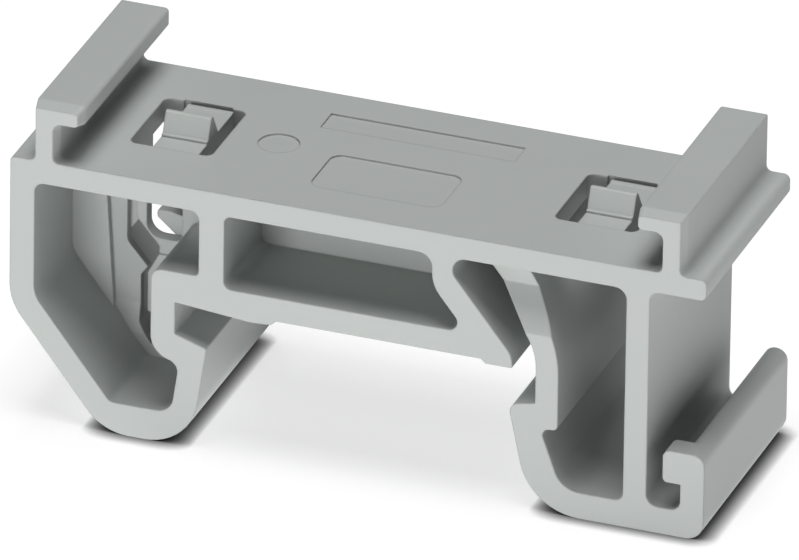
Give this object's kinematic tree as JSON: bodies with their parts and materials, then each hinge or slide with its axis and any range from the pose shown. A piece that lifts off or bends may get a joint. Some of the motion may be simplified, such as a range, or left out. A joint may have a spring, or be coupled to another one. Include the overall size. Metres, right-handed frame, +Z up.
{
  "type": "din rail adapter",
  "caption": "Moulded adapter that snaps onto a top-hat mounting rail with a sprung foot and holds a small module between hooks on its top plate.",
  "frame": {"origin": "centre of the footprint, on the level the feet stand on", "axes": "+Z up through the top plate, +X along the length towards the sprung foot, +Y along the rail towards the rear face"},
  "size_m": [0.0284, 0.0096, 0.0136],
  "materials": {
    "moulding": "light grey moulded polyamide, satin, with softly rounded edges"
  },
  "bodies": {
    "root": {"adapter_body": "moulding"}
  },
  "joints": []
}
